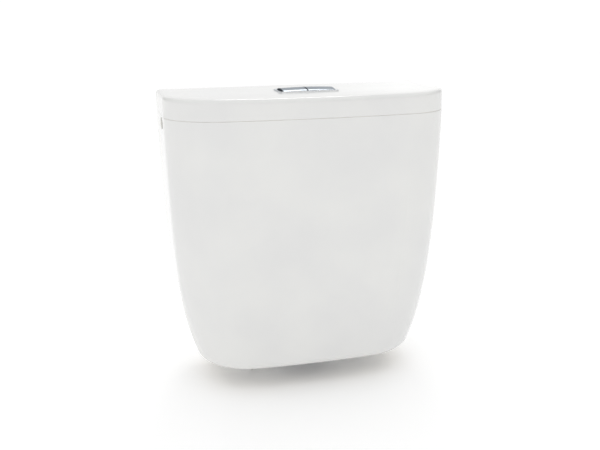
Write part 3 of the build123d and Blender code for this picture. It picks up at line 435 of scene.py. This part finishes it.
class Finishes(Enum):
    """Every finish on the cistern and under it."""

    TANK_CHINA = VitreousChina(
        "glazed_vitreous_china_tank", "#ECECEA", "#E8E8E7",
        roughness=(0.07, 0.12), cloud_mm=90.0, grain_mm=0.8, relief_mm=0.05,
        bare_levels_mm=(0.0, 346.0),
    )
    LID_CHINA = VitreousChina(
        "glazed_vitreous_china_lid", "#ECECEA", "#E8E8E7",
        roughness=(0.07, 0.12), cloud_mm=90.0, grain_mm=0.8, relief_mm=0.05,
        bare_levels_mm=(339.0, 346.0, 364.0),
    )
    BRIGHT_CHROME = ChromedAbs(
        "bright_chrome_on_abs", "#ECEDEE", "#E6E7E9",
        roughness=(0.05, 0.09), cloud_mm=30.0, grain_mm=0.5, relief_mm=0.0015,
    )
    PLATE_CHROME = ChromedAbs(
        "bright_chrome_on_abs_plates", "#BCC0C4", "#B6BABE",
        roughness=(0.05, 0.09), cloud_mm=30.0, grain_mm=0.5, relief_mm=0.0015,
        # Painted shade: a near-black tone on the plate ends and the split strip.
        painted_shade="#3E4144", painted_shade_roughness=0.4, glancing="#C4C8CD", split_at_mm=-2.5, split_reach_mm=0.9,
    )
    WHITE_ACETAL = MouldedPlastic(
        "white_acetal_moulded", "#EAE9E4", "#E3E2DC",
        roughness=(0.32, 0.46), cloud_mm=24.0, grain_mm=0.5, relief_mm=0.012,
    )
    GREY_ABS = MouldedPlastic(
        "grey_abs_moulded", "#8B9195", "#82888C",
        roughness=(0.34, 0.48), cloud_mm=24.0, grain_mm=0.5, relief_mm=0.014, ior=1.53,
    )
    BLUE_POLYPROPYLENE = MouldedPlastic(
        "blue_polypropylene_moulded", "#2364B4", "#1C5AA6",
        roughness=(0.28, 0.4), cloud_mm=18.0, grain_mm=0.5, relief_mm=0.01,
    )
    NATURAL_POLYPROPYLENE = MouldedPlastic(
        "natural_polypropylene_moulded", "#DBE1E3", "#CFD7DA",
        roughness=(0.24, 0.36), cloud_mm=20.0, grain_mm=0.6, relief_mm=0.012, glow=0.35,
    )
    NATURAL_ACETAL = MouldedPlastic(
        "natural_acetal_extruded", "#E2DFD3", "#DAD6C8",
        roughness=(0.3, 0.42), cloud_mm=14.0, grain_mm=0.4, relief_mm=0.008, glow=0.12,
    )
    BLACK_EPDM = MouldedRubber(
        "black_epdm_moulded", "#242425", "#38383A",
        roughness=(0.58, 0.78), cloud_mm=11.0, grain_mm=0.35, relief_mm=0.02,
    )
    ZINC_PLATE = SatinSteel(
        "zinc_plated_steel", "#BCC1C4", "#C4C0B2",
        roughness=(0.26, 0.42), cloud_mm=5.0, grain_mm=0.4, relief_mm=0.006,
    )
    SPRING_STEEL = SatinSteel(
        "stainless_steel_drawn_wire", "#C9C9C7", "#BDBDBC",
        roughness=(0.16, 0.28), cloud_mm=3.0, grain_mm=0.2, relief_mm=0.003,
    )
    LIGHT_TABLE = OpalAcrylic(
        "opal_acrylic_light_table", "#FAFAFA", "#F8F8F8",
        roughness=(0.85, 0.95), cloud_mm=400.0, grain_mm=2.0, relief_mm=0.03,
    )


def paint(piece: bpy.types.Object, finish: Finishes) -> None:
    """Puts one finish on all of a piece.

    Args:
        piece: a frame node or a new piece.
        finish: its finish.
    """
    material = finish.value.material()
    if not piece.material_slots:
        piece.data.materials.append(material)
    for slot in piece.material_slots:
        slot.material = material


def dress(finish: Finishes, *nodes: str) -> None:
    """Gives frame nodes their finish.

    Args:
        finish: the finish.
        nodes: the nodes' names.
    """
    for name in nodes:
        paint(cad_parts[name], finish)
        log.info("dressed %s in %s", name, finish.value.name)


@dataclass(frozen=True)
class Thread:
    """A right-handed thread cut into a round stem. Its crests keep the stem's radius.

    The crest and the flank are shares of half the pitch, and the groove takes
    the fading turns to reach its depth from each end.
    """

    radius: float
    low: float
    high: float
    pitch: float
    depth: float
    rows_per_turn: int = 10
    crest: float = 0.14
    flank: float = 0.72
    fading_turns: float = 0.6

    def rows(self) -> list[tuple[float, float]]:
        """The outline's points along the thread.

        Returns:
            Radius and height of each row, from low to high.
        """
        count = round((self.high - self.low) / self.pitch * self.rows_per_turn)
        step = (self.high - self.low) / count
        return [(self.radius, self.low + step * i) for i in range(count + 1)]

    def groove(self, turn: float, height: float) -> float:
        """How deep the groove is at one point.

        Args:
            turn: the place round the stem, 0 to 1.
            height: the place along it.

        Returns:
            The depth in millimetres, 0 on a crest and past the ends.
        """
        past_end = min(height - self.low, self.high - height)
        if past_end <= 0:
            return 0.0
        from_crest = abs(2.0 * ((height / self.pitch - turn) % 1.0) - 1.0)
        vee = min(max((from_crest - self.crest) / self.flank, 0.0), 1.0)
        return self.depth * vee * min(past_end / (self.fading_turns * self.pitch), 1.0)


class Axis(Enum):
    """Which way a turned piece points."""

    UP = Matrix(((1, 0, 0), (0, 1, 0), (0, 0, 1)))
    RIGHT = Matrix(((0, 0, 1), (1, 0, 0), (0, 1, 0)))


def smooth_mesh(shape: bmesh.types.BMesh, name: str, sharp_degrees: float = 32.0) -> bpy.types.Mesh:
    """Turns a shape into a mesh with smooth faces and sharp edges.

    Args:
        shape: the shape, which is used up.
        name: the mesh's name.
        sharp_degrees: the angle from which an edge looks sharp.

    Returns:
        The mesh.
    """
    made = bpy.data.meshes.new(name)
    shape.to_mesh(made)
    shape.free()
    made.shade_smooth()
    made.set_sharp_from_angle(angle=math.radians(sharp_degrees))
    return made


@dataclass
class Turned:
    """A turned or moulded round piece with a closed outline."""

    name: str
    outline: Outline
    at: tuple[float, float, float]
    axis: Axis = Axis.UP
    thread: Thread | None = None
    sides: int = 72

    def mesh(self) -> bpy.types.Mesh:
        """Spins the outline.

        Returns:
            A closed mesh, in metres, where the piece belongs.
        """
        shape = bmesh.new()
        rings = []
        for side in range(self.sides):
            turn = side / self.sides
            rings.append([shape.verts.new(self.point(r, h, turn)) for r, h in self.outline])
        count = len(self.outline)
        for here, there in zip(rings, rings[1:] + rings[:1]):
            for i in range(count):
                j = (i + 1) % count
                shape.faces.new((here[i], there[i], there[j], here[j]))
        bmesh.ops.remove_doubles(shape, verts=shape.verts, dist=SAME_POINT_M)
        bmesh.ops.recalc_face_normals(shape, faces=shape.faces)
        return smooth_mesh(shape, self.name)

    def point(self, radius: float, height: float, turn: float) -> Vector:
        """One point of the spun outline.

        Args:
            radius: its distance from the axis in millimetres.
            height: its place along the axis.
            turn: its place round the axis, 0 to 1.

        Returns:
            The point in metres.
        """
        if self.thread is not None and abs(radius - self.thread.radius) < SAME_RADIUS_MM:
            radius -= self.thread.groove(turn, height)
        angle = math.tau * turn
        local = Vector((radius * math.cos(angle), radius * math.sin(angle), height))
        return (self.axis.value @ local + Vector(self.at)) / MM_PER_METRE


@dataclass
class Coil:
    """A compression spring of round wire, with its end turns wound closer than the rest.

    The closing is the share of their pitch that the end turns lose.
    """

    name: str
    node: str
    turns: float = 3.5
    wire_mm: float = 0.5
    closing: float = 0.45
    steps: int = 112
    sides: int = 8
    sharp_degrees: float = 50.0

    def mesh(self) -> bpy.types.Mesh:
        """Winds the wire inside the frame node's box.

        Returns:
            A closed mesh, in metres, where the node is.
        """
        low, high = (Vector(corner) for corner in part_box(self.node))
        wire, centre = mm(self.wire_mm), (low + high) / 2.0
        radius, rise = (high.x - low.x) / 2.0 - wire, high.z - low.z - 2.0 * wire
        around = [math.tau * side / self.sides for side in range(self.sides)]
        shape = bmesh.new()
        rings = []
        for step in range(self.steps + 1):
            share = step / self.steps
            angle = math.tau * self.turns * share
            eased = share - self.closing * math.sin(math.tau * share) / math.tau
            out = Vector((math.cos(angle), math.sin(angle), 0.0))
            spine = Vector((centre.x, centre.y, low.z + wire + rise * eased)) + out * radius
            rings.append([
                shape.verts.new(spine + out * (wire * math.cos(a)) + Vector((0.0, 0.0, wire * math.sin(a))))
                for a in around
            ])
        for here, there in zip(rings, rings[1:]):
            for side in range(self.sides):
                after = (side + 1) % self.sides
                shape.faces.new((here[side], here[after], there[after], there[side]))
        shape.faces.new(reversed(rings[0]))
        shape.faces.new(rings[-1])
        bmesh.ops.recalc_face_normals(shape, faces=shape.faces)
        return smooth_mesh(shape, self.name, self.sharp_degrees)


def stand_for(mesh: bpy.types.Mesh, finish: Finishes, slot: str, body: str, *nodes: str) -> bpy.types.Object:
    """Makes a mesh a piece that replaces frame nodes.

    Args:
        mesh: the piece's mesh, in place.
        finish: its finish.
        slot: not used.
        body: the body it moves with.
        nodes: the frame nodes that it stands for.

    Returns:
        The piece.
    """
    piece = bpy.data.objects.new(mesh.name, mesh)
    bpy.context.scene.collection.objects.link(piece)
    paint(piece, finish)
    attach(piece, body)
    if nodes:
        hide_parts(*nodes)
    log.info("built %s with %d faces", piece.name, len(mesh.polygons))
    return piece


@dataclass
class CeramicTank:
    """The china: the tank and the lid that drops onto it."""

    def build(self) -> None:
        """Glazes both castings."""
        dress(Finishes.TANK_CHINA, "cistern_body")
        dress(Finishes.LID_CHINA, "cistern_lid")


@dataclass
class LidButton:
    """The dual-flush button through the lid, with its rods and springs."""

    travel_mm: float = 8.0

    def build(self) -> None:
        """Plates what shows above the lid, colours what is under it and winds both springs."""
        dress(Finishes.BRIGHT_CHROME, "button_bezel")
        dress(Finishes.PLATE_CHROME, "full_flush_button", "half_flush_button")
        dress(Finishes.WHITE_ACETAL, "button_housing", "button_bridge_plate")
        dress(Finishes.GREY_ABS, "button_clamp_nuts")
        dress(Finishes.NATURAL_ACETAL, "full_push_rod", "half_push_rod")
        for side in ("full", "half"):
            coil = Coil(side + "_button_coil", side + "_button_spring")
            spring = stand_for(coil.mesh(), Finishes.SPRING_STEEL, "steel", "lid", coil.node)
            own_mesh(spring)


@dataclass
class FlushValve:
    """The valve in the outlet: base, tower, overflow tube, rockers and floats."""

    def build(self) -> None:
        """Colours each moulding and seal."""
        dress(Finishes.GREY_ABS, "flush_valve_base", "overflow_tube")
        dress(Finishes.WHITE_ACETAL, "flush_valve_tower", "outlet_back_nut")
        dress(Finishes.BLUE_POLYPROPYLENE, "full_flush_rocker", "half_flush_lever", "float_stop_clips")
        dress(Finishes.NATURAL_POLYPROPYLENE, "full_flush_float", "half_flush_float")
        dress(Finishes.NATURAL_ACETAL, "float_guide_rods")
        dress(Finishes.BLACK_EPDM, "seat_seal", "outlet_seal_washer", "pan_gasket")
        dress(Finishes.ZINC_PLATE, "rocker_pin")


@dataclass
class FillValve:
    """The inlet valve: a threaded stem through the floor, the riser, the head and its float."""

    at: tuple[float, float, float] = (112.0, 8.0, 0.0)
    tail_radius: float = 10.4
    tail_low: float = -16.0
    relief_radius: float = 9.8
    relief_low: float = 10.0
    neck_radius: float = 10.8
    neck_low: float = 12.0
    flange_radius: float = 20.0
    flange_low: float = 36.0
    flange_high: float = 40.0
    flange_rim: float = 0.8
    sleeve_radius: float = 11.0
    sleeve_top: float = 150.0
    sleeve_bore: float = 9.05
    tail_bore: float = 6.0
    chamfer: float = 1.0
    pitch: float = 1.814
    thread_depth: float = 1.0

    def stem(self) -> bpy.types.Mesh:
        """The stem with the half-inch pipe thread of its tail.

        Returns:
            Its mesh.
        """
        thread = Thread(
            self.tail_radius, self.tail_low + self.chamfer, self.relief_low - self.chamfer / 2,
            self.pitch, self.thread_depth,
        )
        outline = [
            (self.tail_bore, self.tail_low),
            (self.tail_radius - self.chamfer, self.tail_low),
            *thread.rows(),
            (self.relief_radius, self.relief_low),
            (self.relief_radius, self.neck_low),
            (self.neck_radius, self.neck_low),
            (self.neck_radius, self.flange_low),
            (self.flange_radius - self.flange_rim / 2, self.flange_low),
            (self.flange_radius, self.flange_low + self.flange_rim / 2),
            (self.flange_radius, self.flange_high - self.flange_rim),
            (self.flange_radius - self.flange_rim, self.flange_high),
            (self.sleeve_radius + self.flange_rim, self.flange_high),
            (self.sleeve_radius, self.flange_high + self.flange_rim),
            (self.sleeve_radius, self.sleeve_top - self.flange_rim / 2),
            (self.sleeve_radius - self.flange_rim / 2, self.sleeve_top),
            (self.sleeve_bore, self.sleeve_top),
            (self.sleeve_bore, self.flange_high),
            (self.tail_bore, self.flange_low),
        ]
        return Turned("fill_valve_threaded_stem", outline, self.at, thread=thread).mesh()

    def build(self) -> None:
        """Builds the stem and colours the rest."""
        stand_for(self.stem(), Finishes.WHITE_ACETAL, "white_plastic", "cistern", "fill_valve_shank")
        dress(Finishes.WHITE_ACETAL, "fill_valve_riser", "inlet_back_nut")
        dress(Finishes.GREY_ABS, "fill_valve_cap", "riser_lock_ring", "inlet_filter")
        dress(Finishes.BLUE_POLYPROPYLENE, "float_lever")
        dress(Finishes.NATURAL_POLYPROPYLENE, "fill_float")
        dress(Finishes.NATURAL_ACETAL, "float_adjusting_rod")
        dress(Finishes.BLACK_EPDM, "inlet_seal_washer", "valve_diaphragm")
        dress(Finishes.ZINC_PLATE, "float_lever_pin")


def slotted(mesh: bpy.types.Mesh, box: tuple[Vector, Vector]) -> bpy.types.Mesh:
    """Cuts a slot across a mesh.

    Args:
        mesh: the mesh to cut.
        box: the slot's middle and size in metres.

    Returns:
        The cut mesh.
    """
    middle, size = box
    place = Matrix.Translation(middle) @ Matrix.Diagonal((*size, 1.0))
    cutter_shape = bmesh.new()
    bmesh.ops.create_cube(cutter_shape, size=1.0, matrix=place)
    cutter_mesh = bpy.data.meshes.new("slot_cutter")
    cutter_shape.to_mesh(cutter_mesh)
    cutter_shape.free()
    cutter = bpy.data.objects.new("slot_cutter", cutter_mesh)
    blank = bpy.data.objects.new("slot_blank", mesh)
    for each in (cutter, blank):
        bpy.context.scene.collection.objects.link(each)
    cut = blank.modifiers.new("slot", "BOOLEAN")
    cut.operation = "DIFFERENCE"
    cut.solver = "EXACT"
    cut.object = cutter
    bpy.context.view_layer.update()
    made = bpy.data.meshes.new_from_object(blank.evaluated_get(bpy.context.evaluated_depsgraph_get()))
    for each in (cutter, blank):
        bpy.data.objects.remove(each)
    return made


@dataclass
class PanFixings:
    """The two bolts through the floor, with their washers and lock nuts."""

    spacing: float = 156.0
    thread_radius: float = 4.0
    thread_low: float = -30.0
    thread_high: float = 10.9
    thread_end: float = 0.2
    neck_radius: float = 3.9
    head_low: float = 38.0
    head_high: float = 43.0
    head_radius: float = 9.0
    head_edge: float = 0.9
    head_fullness: float = 0.8
    head_steps: int = 9
    slot_width: float = 1.6
    slot_depth: float = 1.6
    slot_reach: float = 2.4
    chamfer: float = 0.9
    pitch: float = 1.25
    thread_depth: float = 0.77

    def head(self) -> list[tuple[float, float]]:
        """The cheese head's domed outline, a little fuller than an ellipse.

        Returns:
            Its points from the edge under the head to the middle of its top.
        """
        shoulder = self.head_low + self.head_edge
        rise = self.head_high - self.head_low - self.head_edge
        points = [(self.head_radius, self.head_low), (self.head_radius, shoulder)]
        for i in range(1, self.head_steps):
            lean = math.pi / 2 * i / self.head_steps
            across = self.head_radius * math.cos(lean) ** self.head_fullness
            points.append((across, shoulder + rise * math.sin(lean)))
        return [*points, (0.0, shoulder + rise)]

    def bolt(self, side: int) -> bpy.types.Mesh:
        """One bolt with its thread and its screwdriver slot.

        Args:
            side: -1 for the left one, 1 for the right one.

        Returns:
            Its mesh.
        """
        thread = Thread(
            self.thread_radius, self.thread_low + self.chamfer, self.thread_high - self.thread_end,
            self.pitch, self.thread_depth, rows_per_turn=8,
        )
        outline = [
            (0.0, self.thread_low),
            (self.thread_radius - self.chamfer, self.thread_low),
            *thread.rows(),
            (self.neck_radius, self.thread_high),
            (self.neck_radius, self.head_low),
            *self.head(),
        ]
        at = (side * self.spacing / 2, 0.0, 0.0)
        return slotted(Turned("pan_bolt", outline, at, thread=thread, sides=40).mesh(), self.slot_box(side))

    def slot_box(self, side: int) -> tuple[Vector, Vector]:
        """The slot's middle and size. It is longer than the head is wide, so it runs out both ways.

        Args:
            side: -1 for the left bolt, 1 for the right one.

        Returns:
            The middle and the size, in metres.
        """
        middle = Vector((side * self.spacing / 2, 0.0, self.head_high))
        size = Vector((self.slot_reach * self.head_radius, self.slot_width, 2 * self.slot_depth))
        return middle / MM_PER_METRE, size / MM_PER_METRE

    def build(self) -> None:
        """Builds both bolts as one piece and colours the rest."""
        shape = bmesh.new()
        for side in (-1, 1):
            shape.from_mesh(self.bolt(side))
        both = smooth_mesh(shape, "threaded_pan_bolts")
        stand_for(both, Finishes.ZINC_PLATE, "steel", "cistern", "cistern_bolts")
        dress(Finishes.ZINC_PLATE, "bolt_steel_washers", "bolt_lock_nuts")
        dress(Finishes.BLACK_EPDM, "bolt_rubber_washers", "bolt_under_washers")


@dataclass
class SidePlug:
    """The plug of the unused hole in the left wall, with its nut."""

    at: tuple[float, float, float] = (0.0, -3.0, 335.5)
    seat: float = -190.1
    cap_radius: float = 8.0
    cap_height: float = 1.5
    cap_edge: float = 0.25
    cap_steps: int = 10
    stem_radius: float = 5.0
    stem_end: float = -173.0
    chamfer: float = 0.6
    pitch: float = 1.5
    thread_depth: float = 0.7

    def cap(self) -> list[tuple[float, float]]:
        """The domed cap's outline from its top to its edge.

        Returns:
            Distance from the axis and place along it, from the middle out.
        """
        dome = self.cap_height - self.cap_edge
        sphere = (self.cap_radius ** 2 + dome ** 2) / (2 * dome)
        points = []
        for i in range(self.cap_steps + 1):
            across = self.cap_radius * i / self.cap_steps
            sag = sphere - math.sqrt(sphere ** 2 - across ** 2)
            points.append((across, self.seat - self.cap_height + sag))
        return points

    def build(self) -> None:
        """Builds the plug and colours its nut."""
        thread = Thread(
            self.stem_radius, self.seat + self.chamfer, self.stem_end - self.chamfer,
            self.pitch, self.thread_depth, rows_per_turn=8,
        )
        outline = [
            *self.cap(),
            (self.cap_radius, self.seat),
            (self.stem_radius, self.seat),
            *thread.rows(),
            (self.stem_radius - self.chamfer, self.stem_end),
            (0.0, self.stem_end),
        ]
        plug = Turned("side_hole_threaded_plug", outline, self.at, Axis.RIGHT, thread, sides=48)
        stand_for(plug.mesh(), Finishes.WHITE_ACETAL, "white_plastic", "cistern", "side_hole_plug")
        dress(Finishes.WHITE_ACETAL, "side_plug_nut")


@dataclass
class SoftBox:
    """A square studio light aimed at a point. Its places and size are in metres."""

    name: str
    at: tuple[float, float, float]
    aim: tuple[float, float, float]
    size: float
    power: float
    tone: str = "#FFFFFF"

    def build(self) -> None:
        """Hangs the light."""
        lamp = bpy.data.lights.new(self.name, "AREA")
        lamp.shape = "SQUARE"
        lamp.size = self.size
        lamp.energy = self.power
        lamp.color = linear(self.tone)[:3]
        holder = bpy.data.objects.new(self.name, lamp)
        holder.location = self.at
        holder.rotation_euler = (Vector(self.aim) - Vector(self.at)).to_track_quat("-Z", "Y").to_euler()
        bpy.context.scene.collection.objects.link(holder)
        log.info("hung %s", self.name)


@dataclass
class Studio:
    """The pale floor, the soft light and the camera at the photograph's angle.

    The camera's yaw, pitch and roll are in degrees. The room is lit by
    direction. Its walls give pairs of a direction's part along X and the light
    there, its corner is a part along Y, and the card and the fades are parts
    along Z. A part goes from -1 to 1.
    """

    floor_z_mm: float = -31.0
    floor_reach_m: float = 9.0
    floor_squares: int = 24
    camera_at_mm: tuple[float, float, float] = (-276.44, -1082.67, 470.29)
    yaw: float = 14.191
    pitch: float = 14.489
    roll: float = -0.757
    focal_px: float = 809.68
    frame_px: float = 600.0
    sensor_mm: float = 36.0
    sight_m: float = 100.0
    walls_ahead: Stops = ((-1.0, 0.12), (-0.6, 0.46), (0.0, 0.48), (0.5, 0.14), (1.0, 0.06))
    walls_behind: Stops = ((-1.0, 0.2), (-0.4, 0.2), (-0.12, 1.05), (0.58, 1.15), (0.8, 0.2))
    corner: float = 0.35
    card: tuple[float, float] = (0.026, 0.42)
    card_behind: Stops = (
        (-1.0, 0.2), (-0.4, 0.2), (-0.12, 0.92), (0.24, 0.93),
        (0.3, 1.0), (0.36, 1.1), (0.58, 1.12), (0.8, 0.2),
    )
    skirting: float = 0.9
    skirting_fades: tuple[float, float] = (0.08, 0.14)
    roof: float = 1.12
    roof_fades: tuple[float, float] = (0.15, 0.8)
    lights: list[SoftBox] = field(default_factory=lambda: [
        SoftBox("rear_overhead_box", at=(0.5, 1.9, 2.0), aim=(0.0, 0.0, 0.37), size=0.7, power=5.0),
        SoftBox("front_left_box", at=(-1.3, -2.2, 1.1), aim=(0.0, -0.05, 0.2), size=1.1, power=2.5),
    ])

    def camera(self) -> None:
        """Sets up the camera that was solved from the photograph's edges."""
        yaw, pitch, roll = (math.radians(a) for a in (self.yaw, self.pitch, self.roll))
        ahead = Vector((math.sin(yaw) * math.cos(pitch), math.cos(yaw) * math.cos(pitch), -math.sin(pitch)))
        level = Vector((math.cos(yaw), -math.sin(yaw), 0.0))
        upright = level.cross(ahead)
        right = level * math.cos(roll) + upright * math.sin(roll)
        up = upright * math.cos(roll) - level * math.sin(roll)
        lens = bpy.data.cameras.new("photo_camera")
        lens.sensor_fit = "HORIZONTAL"
        lens.sensor_width = self.sensor_mm
        lens.lens = self.focal_px * self.sensor_mm / self.frame_px
        lens.clip_end = self.sight_m
        camera = bpy.data.objects.new("photo_camera", lens)
        turn = Matrix((right, up, -ahead)).transposed().to_4x4()
        camera.matrix_world = Matrix.Translation(Vector(self.camera_at_mm) / MM_PER_METRE) @ turn
        bpy.context.scene.collection.objects.link(camera)
        bpy.context.scene.camera = camera

    def floor(self) -> None:
        """Sets the light table's top just under the lowest bolt end."""
        shape = bmesh.new()
        squares = self.floor_squares
        bmesh.ops.create_grid(shape, x_segments=squares, y_segments=squares, size=self.floor_reach_m)
        bmesh.ops.translate(shape, verts=shape.verts, vec=(0.0, 0.0, mm(self.floor_z_mm)))
        mesh = bpy.data.meshes.new("studio_floor")
        shape.to_mesh(mesh)
        shape.free()
        table = bpy.data.objects.new("studio_floor", mesh)
        bpy.context.scene.collection.objects.link(table)
        paint(table, Finishes.LIGHT_TABLE)

    def world(self) -> None:
        """Lights the room as a white tent does: bright behind and overhead, dim ahead and beside.

        A slightly darker card runs along the back, above what the camera sees, for the chrome to
        mirror, and a low pale skirting meets the floor all round.
        """
        world = bpy.data.worlds.new("studio_tent")
        world.use_nodes = True
        tree = world.node_tree
        tree.nodes.clear()
        place = add_node(tree, "TexCoord").outputs["Generated"]
        facing = add_node(tree, "SeparateXYZ", {"Vector": place}).outputs
        ahead = self.wall(tree, facing["X"], self.walls_ahead)
        behind = self.back_wall(tree, facing["X"], facing["Z"])
        inputs = {"Value": facing["Y"], "From Min": -self.corner, "From Max": self.corner}
        back = add_node(tree, "MapRange", inputs).outputs["Result"]
        wall = add_node(tree, "Mix", {0: back, 2: ahead, 3: behind}, data_type="FLOAT").outputs[0]
        low, high = self.skirting_fades
        inputs = {
            "Value": facing["Z"], "From Min": low, "From Max": high,
            "To Min": self.skirting, "To Max": 0.0,
        }
        pale = add_node(tree, "MapRange", inputs).outputs["Result"]
        wall = add_node(tree, "Math", {0: wall, 1: pale}, operation="MAXIMUM").outputs[0]
        low, high = self.roof_fades
        inputs = {"Value": facing["Z"], "From Min": low, "From Max": high}
        rise = add_node(tree, "MapRange", inputs).outputs["Result"]
        light = add_node(tree, "Mix", {0: rise, 2: wall, 3: self.roof}, data_type="FLOAT").outputs[0]
        glow = add_node(tree, "Background", {"Color": linear("#FFFFFF"), "Strength": light})
        add_node(tree, "OutputWorld", {"Surface": glow.outputs["Background"]})
        bpy.context.scene.world = world

    def back_wall(self, tree: Nodes, across: Socket, height: Socket) -> Socket:
        """How bright the wall behind the part is, with the card on it.

        Args:
            tree: the world's nodes.
            across: the direction's part along X.
            height: its part along Z.

        Returns:
            The brightness.
        """
        low, high = self.card
        inputs = {0: height, 1: (low + high) / 2.0, 2: (high - low) / 2.0}
        on_card = add_node(tree, "Math", inputs, operation="COMPARE").outputs[0]
        bare = self.wall(tree, across, self.walls_behind)
        card = self.wall(tree, across, self.card_behind)
        return add_node(tree, "Mix", {0: on_card, 2: bare, 3: card}, data_type="FLOAT").outputs[0]

    def wall(self, tree: Nodes, across: Socket, stops: Stops) -> Socket:
        """How bright one half of the tent's wall is, from left to right.

        Args:
            tree: the world's nodes.
            across: the direction's part along X, -1 to 1.
            stops: the light at chosen places along it.

        Returns:
            The brightness.
        """
        brightest = max(light for _, light in stops)
        share = add_node(tree, "MapRange", {"Value": across, "From Min": -1.0}).outputs["Result"]
        ramp = add_node(tree, "ValToRGB", {"Fac": share})
        marks = ramp.color_ramp.elements
        while len(marks) < len(stops):
            marks.new(0.5)
        for mark, (x, light) in zip(marks, stops):
            mark.position = (x + 1.0) / 2.0
            mark.color = (light / brightest, light / brightest, light / brightest, 1.0)
        inputs = {0: ramp.outputs["Color"], 1: brightest}
        return add_node(tree, "Math", inputs, operation="MULTIPLY").outputs[0]

    def build(self) -> None:
        """Sets the whole studio, seen as a plain photograph is, without a film look."""
        bpy.context.scene.view_settings.view_transform = "Standard"
        self.camera()
        self.floor()
        self.world()
        for light in self.lights:
            light.build()


def main() -> None:
    """Builds the studio and every sub-assembly in order."""
    logging.basicConfig(level=logging.INFO, format="%(message)s")
    for part in (Studio(), CeramicTank(), LidButton(), FlushValve(), FillValve(), PanFixings(), SidePlug()):
        log.info("building %s", type(part).__name__)
        part.build()


if __name__ == "__main__":
    main()
